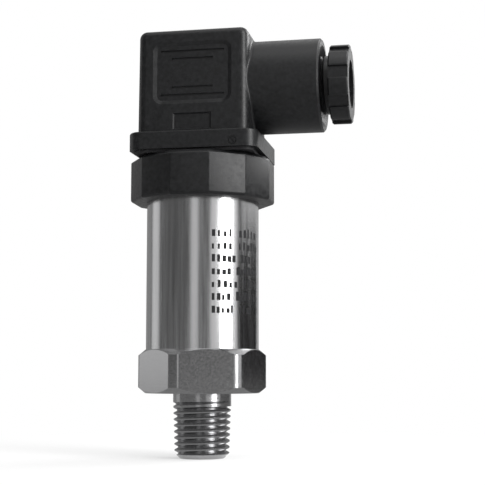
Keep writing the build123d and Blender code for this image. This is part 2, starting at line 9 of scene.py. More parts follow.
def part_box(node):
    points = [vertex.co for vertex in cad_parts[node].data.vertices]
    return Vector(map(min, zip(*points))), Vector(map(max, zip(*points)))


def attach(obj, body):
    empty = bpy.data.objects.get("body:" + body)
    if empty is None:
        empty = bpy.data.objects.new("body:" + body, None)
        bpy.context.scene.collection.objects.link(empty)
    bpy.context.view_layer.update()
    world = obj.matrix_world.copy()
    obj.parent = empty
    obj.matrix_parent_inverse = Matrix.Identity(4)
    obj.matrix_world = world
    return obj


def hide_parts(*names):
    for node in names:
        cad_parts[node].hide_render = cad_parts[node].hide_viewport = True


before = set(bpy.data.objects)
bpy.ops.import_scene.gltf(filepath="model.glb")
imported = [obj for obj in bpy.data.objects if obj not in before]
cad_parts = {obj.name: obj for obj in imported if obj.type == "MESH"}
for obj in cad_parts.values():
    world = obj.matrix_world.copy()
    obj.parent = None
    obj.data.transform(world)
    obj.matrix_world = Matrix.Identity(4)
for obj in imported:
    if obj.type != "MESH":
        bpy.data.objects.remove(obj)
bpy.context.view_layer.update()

bl_info = {
    "name": "Pressure transmitter dressing",
    "version": (1, 0, 0),
    "blender": (4, 5, 0),
    "location": "View3D > Sidebar > Transmitter",
    "description": "Dresses the packed pressure transmitter and sets up its studio",
    "category": "Object",
}

MM = 0.001

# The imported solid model's own box, and the places of the pieces that get threads and marks
CONNECTION_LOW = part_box("process_connection")[0]
TUBE_LOW, TUBE_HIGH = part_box("housing_tube")
BASE_LOW, BASE_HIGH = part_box("connector_base")
GLAND_LOW, GLAND_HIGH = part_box("gland_screw")
SCREW_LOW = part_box("plug_screw")[0]
GLAND_AXIS_HEIGHT = (GLAND_LOW.z + GLAND_HIGH.z) / 2
GLAND_AXIS = Matrix(((0, 0, 1, 0), (1, 0, 0, 0), (0, 1, 0, GLAND_AXIS_HEIGHT), (0, 0, 0, 1)))

# Meshes
SAME_PLACE = 0.0005 * MM  # corners closer than this are one corner
FLAT_ANGLE = radians(1.0)  # faces that meet at less than this are one flat face
SHARP_ANGLE = radians(20)  # only edges sharper than this are rounded
SMOOTH_ANGLE = radians(32)  # edges sharper than this stay sharp in the shading
ROUNDING_STEPS = 3
COLLAR_RIM = 0.93  # share of the base's radius outside which its collar's edges lie
LENGTHWISE = 0.6  # share of an edge's length along the gland's axis that makes it a long edge

# Thread grooves
COARSE_STEPS = 96  # points in one turn of the larger threads
FINE_STEPS = 40  # points in one turn of the plug screw's thread
SPARE_TURNS = 1.5  # turns by which a groove runs on past the tip
PROFILE_STEPS = 5  # steps on each side of the groove's deepest point
GROOVE_HALF_WIDTH = 0.49  # of the pitch
WAVE_SHARE = 0.55  # of the depth; the rest lifts the wave, so a tenth of it clears the crests

# Field marks, in shares of the plain tick and in columns; every draw comes from the one seed
MARK_SEED = 4
STEP_RANGE = (0.84, 1.08)  # distance from tick to tick, for each row
GAP_RANGE = (3.6, 5.4)  # column of the gap between a row's two runs
END_RANGE = (7.5, 11.4)  # column before which a row ends
WIDTH_RANGE = (0.45, 1.0)
HEIGHT_RANGE = (0.6, 1.0)
SECOND_RUN_TALLER = 0.2  # added to the height beyond the gap
TICK_SLICES = 4  # corners across a tick, which let it bend round the tube

# Finishes
PLAIN = (1.0, 1.0, 1.0)
ROUND_THE_AXIS = (0.02, 0.02, 1.0)  # stretches a noise into lines round the upright axis
DOWN_THE_TUBE = (1.0, 1.0, 0.03)  # stretches a noise into long upright streaks
UPRIGHT = (1.0, 1.0, 0.1)  # stretches a noise into short upright streaks
LEAST_ROUGHNESS = 0.02

# Studio; angles are in degrees from the camera's side towards its right, lengths in metres
NEAREST_SEEN = 0.01
DISC_SIDES = 48
FLOOR_RADIUS = 3.0
FLOOR_FADE = (0.02, 0.12)  # distances between which the floor's shadow fades
FLOOR_LEAST_WHITE = 0.5  # share of plain white where the shadow is deepest
FLOOR_LEVEL = 0.9
WORLD_LEVEL = 0.6
TABLE_RISE = 1.0 * MM  # of the level panel above the floor
TABLE_LEVEL = 0.4
PANEL_ANGLE = 4  # one facet of a panel
PANELS = (  # name, first and last angle, bottom and top above the floor, grey level
    ("panel_back", 165, 196, 0.0, 0.5, 0.2),
    ("panel_back_right", 150, 165, 0.0, 0.5, 0.55),
    ("panel_left_back", -164, -121, 0.0, 1.6, 0.34),
    ("panel_left", -97, -61, 0.0, 1.6, 0.18),
    ("panel_left_line", -61, -57, 0.0, 1.6, 0.1),
    ("panel_left_front", -57, -22, 0.0, 1.6, 0.18),
    ("panel_camera", -7, 17, 0.0, 1.6, 0.22),
    ("panel_right", 76, 87, 0.125, 1.6, 0.12),
    ("panel_right_back", 87, 150, 0.125, 0.155, 0.6),
    ("panel_right_high", 87, 150, 0.155, 1.6, 1.0),
    ("panel_low_right", 76, 147, 0.0, 0.125, 0.01),
)
LIGHTS = (  # name, angle, distance, height, width, length, share of the key light's power
    ("key_light", 50, 0.55, 0.2, 0.22, 0.7, 1.0),
    ("top_light", 10, 0.25, 0.7, 0.5, 0.5, 0.2),
    ("rear_light", 122, 0.42, 0.27, 0.3, 0.2, 0.3),
)
LIT_POINT = Vector((0.0, 0.0, 0.04))


def size_property(name, description, value):
    """A length that a user may change."""
    return bpy.props.FloatProperty(
        name=name, description=description, default=value, unit="LENGTH", precision=5
    )


def colour_property(name, description, value):
    """A plain colour that a user may change."""
    return bpy.props.FloatVectorProperty(
        name=name, description=description, default=(*value, 1.0), size=4,
        subtype="COLOR", min=0.0, max=1.0,
    )


def share_property(name, description, value):
    """A number from 0 to 1 that a user may change."""
    return bpy.props.FloatProperty(
        name=name, description=description, default=value, min=0.0, max=1.0, subtype="FACTOR"
    )


class ProcessThreadSizes(bpy.types.PropertyGroup):
    """Sizes of the tapered thread on the process connection."""

    pitch: size_property("Pitch", "Distance from crest to crest", 1.411 * MM)
    depth: size_property("Depth", "Depth of the groove below the crests", 0.85 * MM)
    crest_radius: size_property("Crest radius", "Radius of the crests under the neck", 6.75 * MM)
    top: size_property("Top", "Height at which the thread runs out under the neck", -1.9 * MM)
    taper: bpy.props.FloatProperty(
        name="Taper", description="Loss of radius for each unit of length", default=1 / 32
    )


class FineThreadSizes(bpy.types.PropertyGroup):
    """Sizes of the plug screw's and gland screw's threads, and of the rounded edges."""

    screw_radius: size_property("Screw radius", "Radius of the plug screw's crests", 1.45 * MM)
    screw_pitch: size_property("Screw pitch", "Pitch of the plug screw", 0.5 * MM)
    screw_depth: size_property("Screw depth", "Depth of the plug screw's thread", 0.28 * MM)
    screw_length: size_property("Screw length", "Threaded length of the plug screw", 9.0 * MM)
    gland_radius: size_property("Gland radius", "Radius of the gland screw's crests", 6.9 * MM)
    gland_pitch: size_property("Gland pitch", "Pitch of the gland screw", 1.25 * MM)
    gland_depth: size_property("Gland depth", "Depth of the gland screw's thread", 0.6 * MM)
    gland_start: size_property("Gland start", "From the head's end to its thread", 5.5 * MM)
    gland_length: size_property("Gland length", "Threaded length of the gland screw", 6.0 * MM)
    softening: size_property(
        "Softening", "Width of the rounding on the gland head's and the collar's edges", 0.25 * MM
    )


class FieldMarkSizes(bpy.types.PropertyGroup):
    """Sizes of the plain rows of ticks marked on the tube."""

    rows: bpy.props.IntProperty(
        name="Rows", description="Number of rows", default=7, min=1, max=12
    )
    ticks: bpy.props.IntProperty(
        name="Ticks", description="Most ticks in a row", default=11, min=1, max=24
    )
    row_pitch: size_property("Row pitch", "Height from row to row", 2.9 * MM)
    tick_pitch: size_property("Tick pitch", "Distance from tick to tick", 1.3 * MM)
    tick_width: size_property("Tick width", "Width of the widest tick", 1.0 * MM)
    tick_height: size_property("Tick height", "Height of a plain tick", 1.8 * MM)
    rise: size_property("Rise", "How far the dark mark stands proud of the steel", 0.012 * MM)
    drop: size_property("Drop", "How far the rows lie below the tube's middle", 2.1 * MM)
    start_angle: bpy.props.FloatProperty(
        name="Start angle", description="Turn about the axis where the rows begin",
        default=radians(-68.3), subtype="ANGLE",
    )


class FinishColours(bpy.types.PropertyGroup):
    """Colours and gloss of the main finishes."""

    steel: colour_property("Steel", "Colour of the tube's ground steel", (0.46, 0.46, 0.465))
    turned_steel: colour_property(
        "Turned steel", "Colour of the turned process connection", (0.365, 0.365, 0.37)
    )
    moulding: colour_property(
        "Moulding", "Colour of the black plug and base", (0.008, 0.0082, 0.0088)
    )
    gland: colour_property("Gland", "Colour of the gland screw", (0.007, 0.0072, 0.0078))
    steel_roughness: share_property("Steel roughness", "Roughness of all stainless steel", 0.2)
    moulding_roughness: share_property(
        "Moulding roughness", "Roughness of the black plug and base", 0.38
    )


class StageSettings(bpy.types.PropertyGroup):
    """Camera, floor and light of the plain studio."""

    camera_place: bpy.props.FloatVectorProperty(
        name="Camera place", description="Where the camera stands",
        default=(0.06133, -0.26858, 0.00427), subtype="XYZ",
    )
    camera_turn: bpy.props.FloatVectorProperty(
        name="Camera turn", description="How the camera is turned",
        default=(radians(96.467), 0.0, radians(10.901)), subtype="EULER",
    )
    lens: bpy.props.FloatProperty(
        name="Lens", description="Focal length in millimetres", default=86.57
    )
    floor_height: size_property(
        "Floor height", "Level the thread's tip stands on", CONNECTION_LOW.z
    )
    panel_distance: size_property(
        "Panel distance", "How far the studio's panels stand off", 0.6
    )
    key_power: bpy.props.FloatProperty(
        name="Key power", description="Power of the soft light on the right",
        default=4.3, unit="POWER",
    )


# Nodes


def add(tree, kind, inputs=None, **settings):
    """Adds a node with its settings, and links or sets its inputs."""
    node = tree.nodes.new(kind)
    for key, value in settings.items():
        setattr(node, key, value)
    for key, value in (inputs or {}).items():
        if isinstance(value, bpy.types.NodeSocket):
            tree.links.new(value, node.inputs[key])
        else:
            node.inputs[key].default_value = value
    return node


def calculate(tree, operation, *values):
    """One step of arithmetic, in a shader or a geometry tree."""
    return add(tree, "ShaderNodeMath", dict(enumerate(values)), operation=operation).outputs[0]


def work_through(tree, operation, first, *others):
    """Arithmetic on two or more values, from the first to the last."""
    for other in others:
        first = calculate(tree, operation, first, other)
    return first


def sums_of(tree):
    """A tree's plus, minus, times and over, each a function of two or more values."""
    operations = ("ADD", "SUBTRACT", "MULTIPLY", "DIVIDE")
    return [partial(work_through, tree, operation) for operation in operations]


def socket_of_type(sockets, name, kind):
    """The socket with a name and a type, on a node that has several of that name."""
    return next(s for s in sockets if s.name == name and s.type == kind)


# Materials


def start_material(name, fixed=None):
    """A new material, its tree and its shader, with the values that are the same all over it."""
    material = bpy.data.materials.new(name)
    material.use_nodes = True
    shader = material.node_tree.nodes["Principled BSDF"]
    for key, value in (fixed or {}).items():
        shader.inputs[key].default_value = value
    return material, material.node_tree, shader


def place_on_object(tree, scale=PLAIN):
    """The object's own coordinates, stretched by a scale."""
    where = add(tree, "ShaderNodeTexCoord").outputs["Object"]
    return add(tree, "ShaderNodeMapping", {"Vector": where, "Scale": scale}).outputs["Vector"]


def speckle(tree, grain, scale=PLAIN, detail=3.0):
    """Soft noise whose features are about one grain across."""
    where = place_on_object(tree, scale)
    inputs = {"Vector": where, "Scale": 1.0 / grain, "Detail": detail, "Roughness": 0.6}
    return add(tree, "ShaderNodeTexNoise", inputs).outputs["Fac"]


def spread(tree, value, low, high):
    """A value from 0 to 1 moved to lie between low and high."""
    inputs = {"Value": value, "To Min": low, "To Max": high}
    return add(tree, "ShaderNodeMapRange", inputs).outputs["Result"]


def blend_colours(tree, share, first, second):
    """One colour fading into another."""
    node = add(tree, "ShaderNodeMix", data_type="RGBA")
    tree.links.new(share, node.inputs["Factor"])
    for key, value in (("A", first), ("B", second)):
        socket = socket_of_type(node.inputs, key, "RGBA")
        if isinstance(value, bpy.types.NodeSocket):
            tree.links.new(value, socket)
        else:
            socket.default_value = value
    return next(s for s in node.outputs if s.type == "RGBA")


def shade(colour, factor):
    """A darker or paler version of a colour."""
    return tuple(min(1.0, part * factor) for part in tuple(colour)[:3]) + (1.0,)


def join_bumps(tree, shader, *heights):
    """Stacks bump heights, each given as a value and its depth in metres."""
    normal = None
    for value, depth in heights:
        inputs = {"Height": value, "Distance": depth, "Strength": 1.0}
        if normal is not None:
            inputs["Normal"] = normal
        normal = add(tree, "ShaderNodeBump", inputs).outputs["Normal"]
    tree.links.new(normal, shader.inputs["Normal"])


def vary(tree, shader, colour, change, roughness, rough_change, grain, scale=PLAIN):
    """Colour and roughness that drift a little over the surface."""
    inputs = {"Value": speckle(tree, grain, scale), "From Min": 0.3, "From Max": 0.7}
    drift = add(tree, "ShaderNodeMapRange", inputs).outputs["Result"]
    mixed = blend_colours(tree, drift, shade(colour, 1.0 - change), shade(colour, 1.0 + change))
    tree.links.new(mixed, shader.inputs["Base Color"])
    low = max(LEAST_ROUGHNESS, roughness - rough_change)
    tree.links.new(spread(tree, drift, low, roughness + rough_change), shader.inputs["Roughness"])


def steel_finish(name, colour, roughness, line_pitch, line_depth, cloud, change, streak):
    """Stainless steel with fine lines round its axis and a drift of tone, which may be streaked."""
    material, tree, shader = start_material(name, {"Metallic": 1.0})
    vary(tree, shader, colour, change, roughness, rough_change=0.06, grain=cloud, scale=streak)
    scratches = speckle(tree, line_pitch, ROUND_THE_AXIS, detail=4.0)
    pits = speckle(tree, grain=0.25 * MM)
    join_bumps(tree, shader, (scratches, line_depth), (pits, 0.15 * line_depth))
    return material


def moulded_finish(name, colour, roughness, grain, depth, mottle=0.1):
    """Moulded plastic with an eroded grain, a mottled colour and a slow drift in its gloss."""
    material, tree, shader = start_material(name, {"Specular IOR Level": 0.32})
    vary(tree, shader, colour, mottle, roughness, rough_change=0.07, grain=0.9 * MM)
    fine = speckle(tree, grain, detail=2.0)
    dimples = speckle(tree, grain=0.8 * MM)
    waves = speckle(tree, grain=9 * MM, detail=1.0)
    join_bumps(tree, shader, (fine, depth), (dimples, 1.5 * depth), (waves, 2.0 * depth))
    return material


def rubber_finish(name):
    """Black rubber, matt, with a dusty bloom in patches."""
    black = (0.011, 0.011, 0.012, 1.0)
    material, tree, shader = start_material(name)
    bloom = spread(tree, speckle(tree, grain=2.2 * MM, detail=5.0), low=-0.6, high=1.1)
    mixed = blend_colours(tree, bloom, black, shade(black, 2.6))
    tree.links.new(mixed, shader.inputs["Base Color"])
    tree.links.new(spread(tree, bloom, low=0.6, high=0.85), shader.inputs["Roughness"])
    join_bumps(tree, shader, (speckle(tree, grain=0.18 * MM), 0.01 * MM))
    return material


def plated_finish(name, colour, roughness, streak=UPRIGHT):
    """Plated or drawn metal with fine streaks and small dull spots."""
    material, tree, shader = start_material(name, {"Metallic": 1.0})
    vary(tree, shader, colour, 0.05, roughness, rough_change=0.04, grain=1.5 * MM)
    streaks = speckle(tree, 0.12 * MM, streak)
    spots = speckle(tree, grain=0.9 * MM)
    join_bumps(tree, shader, (streaks, 0.0005 * MM), (spots, 0.001 * MM))
    return material


def ceramic_finish(name):
    """Fired white ceramic with a faint speckle."""
    material, tree, shader = start_material(name)
    white, grey = (0.83, 0.82, 0.78, 1.0), (0.72, 0.70, 0.65, 1.0)
    spots = spread(tree, speckle(tree, grain=0.35 * MM, detail=6.0), low=-1.0, high=1.0)
    tree.links.new(blend_colours(tree, spots, white, grey), shader.inputs["Base Color"])
    tree.links.new(spread(tree, spots, low=0.3, high=0.45), shader.inputs["Roughness"])
    join_bumps(tree, shader, (speckle(tree, grain=0.3 * MM), 0.005 * MM))
    return material


def board_finish(name):
    """Green lacquered circuit board with tracks under the lacquer and bare tinned pads."""
    dark, green = (0.008, 0.085, 0.028, 1.0), (0.02, 0.17, 0.06, 1.0)
    tin = (0.62, 0.62, 0.6, 1.0)
    pad_radius = 0.17  # of the distance from pad to pad
    material, tree, shader = start_material(name)
    where = place_on_object(tree)
    grid = {"Mortar Size": 0.16 * MM, "Brick Width": 2.54 * MM, "Row Height": 1.27 * MM}
    inputs = {"Vector": where, "Scale": 1.0, **grid}
    tracks = add(tree, "ShaderNodeTexBrick", inputs, offset=0.5).outputs["Fac"]
    inputs = {"Vector": where, "Scale": 1 / (1.9 * MM), "Randomness": 0.35}
    cells = add(tree, "ShaderNodeTexVoronoi", inputs).outputs["Distance"]
    pads = calculate(tree, "LESS_THAN", cells, pad_radius)
    lacquer = blend_colours(tree, tracks, dark, green)
    tree.links.new(blend_colours(tree, pads, lacquer, tin), shader.inputs["Base Color"])
    tree.links.new(pads, shader.inputs["Metallic"])
    gloss = spread(tree, speckle(tree, grain=1.2 * MM), low=0.22, high=0.4)
    tree.links.new(gloss, shader.inputs["Roughness"])
    join_bumps(tree, shader, (tracks, 0.02 * MM), (pads, 0.03 * MM))
    return material


def mark_finish(name):
    """The dark oxide that a marking laser leaves on steel."""
    black = (0.012, 0.012, 0.013, 1.0)
    material, tree, shader = start_material(name, {"Specular IOR Level": 0.15})
    vary(tree, shader, black, 0.3, roughness=0.6, rough_change=0.1, grain=0.3 * MM)
    join_bumps(tree, shader, (speckle(tree, grain=0.08 * MM), 0.003 * MM))
    return material


# Meshes


def link_object(name, data):
    """A new object in the scene."""
    thing = bpy.data.objects.new(name, data)
    bpy.context.scene.collection.objects.link(thing)
    return thing


def merge_doubles(mesh):
    """Merges a mesh's doubles, drops its collapsed faces and turns its faces outwards."""
    shape = bmesh.new()
    shape.from_mesh(mesh)
    bmesh.ops.remove_doubles(shape, verts=shape.verts, dist=SAME_PLACE)
    bmesh.ops.dissolve_degenerate(shape, edges=shape.edges, dist=SAME_PLACE)
    bmesh.ops.recalc_face_normals(shape, faces=shape.faces)
    shape.to_mesh(mesh)
    shape.free()


def copy_of_node(node, name):
    """A piece of its own with a CAD node's shape and its doubles merged."""
    piece = link_object(name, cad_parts[node].data.copy())
    merge_doubles(piece.data)
    old_normals = piece.data.attributes.get("custom_normal")
    if old_normals:
        piece.data.attributes.remove(old_normals)
    return piece


def round_edges(piece, width, chosen):
    """Rounds those edges of a copy that a test chooses, once its flat faces are whole again."""
    shape = bmesh.new()
    shape.from_mesh(piece.data)
    bmesh.ops.dissolve_limit(
        shape, angle_limit=FLAT_ANGLE, verts=shape.verts, edges=shape.edges
    )
    shared = [edge for edge in shape.edges if len(edge.link_faces) == 2]
    sharp = [edge for edge in shared if edge.calc_face_angle() > SHARP_ANGLE and chosen(edge)]
    bmesh.ops.bevel(
        shape, geom=sharp, offset=width, offset_type="OFFSET", segments=ROUNDING_STEPS,
        profile=0.5, affect="EDGES", clamp_overlap=True,
    )
    shape.to_mesh(piece.data)
    shape.free()


def apply_modifiers(piece):
    """Turns a piece and its modifiers into a plain mesh."""
    bpy.context.view_layer.update()
    graph = bpy.context.evaluated_depsgraph_get()
    shown = piece.evaluated_get(graph)
    mesh = bpy.data.meshes.new_from_object(
        shown, preserve_all_data_layers=True, depsgraph=graph
    )
    if not mesh.polygons:
        raise RuntimeError(f"{piece.name} came out empty")
    piece.modifiers.clear()
    piece.data = mesh
    return piece


def smooth_by_angle(piece):
    """Smooth shading, broken at sharp edges."""
    piece.data.polygons.foreach_set("use_smooth", [True] * len(piece.data.polygons))
    piece.data.set_sharp_from_angle(angle=SMOOTH_ANGLE)


def cut_with(piece, cutter):
    """Takes a cutter's volume out of a piece and removes the cutter."""
    cut = piece.modifiers.new("Cut", "BOOLEAN")
    cut.operation = "DIFFERENCE"
    cut.solver = "EXACT"
    cut.object = cutter
    apply_modifiers(piece)
    merge_doubles(piece.data)
    bpy.data.objects.remove(cutter)


def paint(piece, material):
    """Gives a piece one material and nothing else."""
    piece.data.materials.clear()
    piece.data.materials.append(material)


def paint_nodes(material, *names):
    """Gives CAD nodes a material, in every slot they have."""
    for name in names:
        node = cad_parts[name]
        if not node.data.materials:
            node.data.materials.append(material)
        for place in range(len(node.data.materials)):
            node.data.materials[place] = material


def stand_in(piece, node, body, material):
    """Lets a finished piece take a CAD node's place on its body."""
    paint(piece, material)
    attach(piece, body)
    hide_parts(node)


# Geometry Nodes


def start_geometry_tree(name, inputs):
    """A geometry tree with named number inputs, and the sockets that give their values."""
    tree = bpy.data.node_groups.new(name, "GeometryNodeTree")
    tree.interface.new_socket(
        "Geometry", in_out="OUTPUT", socket_type="NodeSocketGeometry"
    )
    for key, value in inputs.items():
        kind = "NodeSocketInt" if isinstance(value, int) else "NodeSocketFloat"
        socket = tree.interface.new_socket(key, in_out="INPUT", socket_type=kind)
        socket.default_value = value
    return tree, tree.nodes.new("NodeGroupInput").outputs


def finish_geometry_tree(tree, geometry, material):
    """Ends a tree with its instances made real and its material set. Ends a tree the
    way the export needs it.
    """
    real = add(tree, "GeometryNodeRealizeInstances", {"Geometry": geometry}).outputs[0]
    inputs = {"Geometry": real, "Material": material}
    painted = add(tree, "GeometryNodeSetMaterial", inputs).outputs[0]
    tree.links.new(painted, tree.nodes.new("NodeGroupOutput").inputs[0])


def grow_piece(name, tree, values):
    """Runs a geometry tree with the given inputs and keeps the result as a plain mesh."""
    piece = link_object(name, bpy.data.meshes.new(name))
    modifier = piece.modifiers.new("Grow", "NODES")
    modifier.node_group = tree
    for item in tree.interface.items_tree:
        is_input = item.item_type == "SOCKET" and item.in_out == "INPUT"
        if is_input and item.name in values:
            modifier[item.identifier] = values[item.name]
    return apply_modifiers(piece)


def random_number(tree, key, seed, ends):
    """A number between two ends that stays the same for the same key and seed."""
    node = add(tree, "FunctionNodeRandomValue", data_type="FLOAT")
    for name, value in zip(("Min", "Max"), ends):
        socket_of_type(node.inputs, name, "VALUE").default_value = value
    tree.links.new(key, node.inputs["ID"])
    tree.links.new(seed, node.inputs["Seed"])
    return next(s for s in node.outputs if s.type == "VALUE")


def point(tree, x, y, z):
    """A place made from its three lengths."""
    return add(tree, "ShaderNodeCombineXYZ", {"X": x, "Y": y, "Z": z}).outputs[0]


def point_round_axis(tree, radius, angle, height):
    """The place at a radius and an angle round the upright axis."""
    x = calculate(tree, "MULTIPLY", radius, calculate(tree, "COSINE", angle))
    y = calculate(tree, "MULTIPLY", radius, calculate(tree, "SINE", angle))
    return point(tree, x, y, height)


def row_of_points(tree, count):
    """A run of loose points on a line, for a tree to move."""
    return add(tree, "GeometryNodeMeshLine", {"Count": count}, mode="OFFSET").outputs[0]


def move_to(tree, geometry, place):
    """A geometry with each of its points at a new place."""
    inputs = {"Geometry": geometry, "Position": place}
    return add(tree, "GeometryNodeSetPosition", inputs).outputs[0]


def thread_groove_tree(material):
    """A rounded groove that winds down a tapered cylinder and runs out at its upper end."""
    tree, sizes = start_geometry_tree(
        "Thread groove",
        {
            "Crest radius": 10 * MM,
            "Taper": 0.0,
            "Pitch": 1 * MM,
            "Depth": 0.5 * MM,
            "Top": 0.0,
            "Turns": 8.0,
            "Steps": COARSE_STEPS,
        },
    )
    plus, minus, times, over = sums_of(tree)
    index = add(tree, "GeometryNodeInputIndex").outputs[0]

    # The path: down from the top, inwards by the taper, and outwards to nothing on its first turn
    turned = over(index, sizes["Steps"])
    sunk = times(turned, sizes["Pitch"])
    crest = minus(sizes["Crest radius"], times(sunk, sizes["Taper"]))
    run_out = minus(1.0, calculate(tree, "MINIMUM", turned, 1.0))
    radius = plus(crest, times(run_out, run_out, sizes["Depth"]))
    height = minus(sizes["Top"], sunk)
    wound = point_round_axis(tree, radius, times(turned, -2 * pi), height)
    line = move_to(tree, row_of_points(tree, times(sizes["Turns"], sizes["Steps"])), wound)
    path = add(tree, "GeometryNodeMeshToCurve", {"Mesh": line}).outputs[0]
    upright = add(tree, "GeometryNodeSetCurveNormal", {"Curve": path}, mode="Z_UP").outputs[0]

    # The profile: one wave from crest to crest, closed along its outer side
    side = minus(over(index, float(PROFILE_STEPS)), 1.0)
    wave = times(calculate(tree, "COSINE", times(side, pi)), WAVE_SHARE)
    depth = times(sizes["Depth"], plus(wave, 1 - WAVE_SHARE))
    beside = times(side, times(sizes["Pitch"], GROOVE_HALF_WIDTH))
    stops = row_of_points(tree, 2 * PROFILE_STEPS + 1)
    bent = move_to(tree, stops, point(tree, depth, beside, 0.0))
    outline = add(tree, "GeometryNodeMeshToCurve", {"Mesh": bent}).outputs[0]
    inputs = {"Geometry": outline, "Cyclic": True}
    profile = add(tree, "GeometryNodeSetSplineCyclic", inputs).outputs[0]

    inputs = {"Curve": upright, "Profile Curve": profile, "Fill Caps": True}
    groove = add(tree, "GeometryNodeCurveToMesh", inputs).outputs[0]
    finish_geometry_tree(tree, groove, material)
    return tree


def cut_thread(piece, name, material, sizes, axis=None):
    """Cuts a thread's groove into a piece, round the upright axis or one that is given."""
    groove = grow_piece(name, thread_groove_tree(material), sizes)
    if axis is not None:
        groove.data.transform(axis)
    cut_with(piece, groove)
    smooth_by_angle(piece)


def field_mark_tree(material):
    """Rows of plain upright ticks in two runs with a gap between, wrapped round the tube."""
    tree, sizes = start_geometry_tree(
        "Field marks",
        {
            "Rows": 7,
            "Ticks": 11,
            "Row pitch": 3 * MM,
            "Tick pitch": 1.3 * MM,
            "Tick width": 0.9 * MM,
            "Tick height": 1.5 * MM,
            "Thickness": 0.03 * MM,
            "Radius": 13 * MM,
            "Start angle": 0.0,
            "Lowest row": 30 * MM,
            "Seed": MARK_SEED,
        },
    )
    plus, minus, times, over = sums_of(tree)
    index = add(tree, "GeometryNodeInputIndex").outputs[0]

    # The ticks' places on a flat sheet; half a tick keeps each row's first one in its row
    row = calculate(tree, "FLOOR", over(plus(index, 0.5), sizes["Ticks"]))
    column = minus(index, times(row, sizes["Ticks"]))
    step = random_number(tree, row, plus(sizes["Seed"], 4), STEP_RANGE)
    along = times(column, times(sizes["Tick pitch"], step))
    height = plus(sizes["Lowest row"], times(row, sizes["Row pitch"]))
    line = row_of_points(tree, times(sizes["Rows"], sizes["Ticks"]))
    spots = move_to(tree, line, point(tree, along, 0.0, height))

    # Which of them are kept
    gap = calculate(tree, "ROUND", random_number(tree, row, sizes["Seed"], GAP_RANGE))
    end = random_number(tree, row, plus(sizes["Seed"], 1), END_RANGE)
    from_gap = calculate(tree, "ABSOLUTE", minus(column, gap))
    beside_gap = calculate(tree, "GREATER_THAN", from_gap, 0.5)
    kept = times(beside_gap, calculate(tree, "LESS_THAN", column, end))

    # Their sizes
    width = random_number(tree, index, plus(sizes["Seed"], 2), WIDTH_RANGE)
    tall = random_number(tree, index, plus(sizes["Seed"], 3), HEIGHT_RANGE)
    second_run = calculate(tree, "GREATER_THAN", column, gap)
    taller = plus(1.0, times(second_run, SECOND_RUN_TALLER))
    size = point(
        tree,
        times(sizes["Tick width"], width),
        sizes["Thickness"],
        times(sizes["Tick height"], taller, tall),
    )
    inputs = {"Size": (1.0, 1.0, 1.0), "Vertices X": TICK_SLICES}
    plate = add(tree, "GeometryNodeMeshCube", inputs).outputs[0]
    inputs = {"Geometry": plate, "Translation": (0.5, 0.5, 0.5)}  # a corner to the origin
    raised = add(tree, "GeometryNodeTransform", inputs).outputs[0]
    inputs = {"Points": spots, "Selection": kept, "Instance": raised, "Scale": size}
    ticks = add(tree, "GeometryNodeInstanceOnPoints", inputs).outputs[0]

    # The sheet wrapped round the tube
    flat = add(tree, "GeometryNodeRealizeInstances", {"Geometry": ticks}).outputs[0]
    here = add(tree, "GeometryNodeInputPosition").outputs[0]
    parts = add(tree, "ShaderNodeSeparateXYZ", {"Vector": here}).outputs
    turn = plus(sizes["Start angle"], over(parts["X"], sizes["Radius"]))
    reach = minus(sizes["Radius"], parts["Y"])
    wrapped = move_to(tree, flat, point_round_axis(tree, reach, turn, parts["Z"]))
    finish_geometry_tree(tree, wrapped, material)
    return tree


# Studio


def make_camera(scene, settings):
    """The camera at the photograph's viewing angle."""
    data = bpy.data.cameras.new("camera")
    data.lens = settings.lens
    data.clip_start = NEAREST_SEEN
    camera = link_object("camera", data)
    camera.location = settings.camera_place
    camera.rotation_euler = settings.camera_turn
    scene.camera = camera


def add_glow(tree, kind, level, strength=1.0):
    """A plain grey light, from an Emission or a Background node."""
    inputs = {"Color": (level, level, level, 1.0), "Strength": strength}
    return add(tree, kind, inputs).outputs[0]


def seen_straight(tree):
    """1 for rays from the camera, a glossy surface or a clear one, and 0 for all others."""
    rays = add(tree, "ShaderNodeLightPath").outputs
    either = calculate(tree, "MAXIMUM", rays["Is Camera Ray"], rays["Is Glossy Ray"])
    return calculate(tree, "MAXIMUM", either, rays["Is Transmission Ray"])


def end_surface(tree, surface, kind="ShaderNodeOutputMaterial"):
    """Links a finished surface to the tree's output."""
    tree.links.new(surface, add(tree, kind).inputs["Surface"])


def start_bare_material(name):
    """A new material and its empty tree."""
    material = bpy.data.materials.new(name)
    material.use_nodes = True
    material.node_tree.nodes.clear()
    return material, material.node_tree


def ring(radius, height):
    """The corners of a level disc."""
    turns = [2 * i * pi / DISC_SIDES for i in range(DISC_SIDES)]
    return [(radius * cos(turn), radius * sin(turn), height) for turn in turns]


def make_stage_piece(name, points, faces, material):
    """A mesh that belongs to the studio and not to the object."""
    mesh = bpy.data.meshes.new(name)
    mesh.from_pydata(points, [], faces)
    mesh.materials.append(material)
    piece = link_object(name, mesh)
    return piece


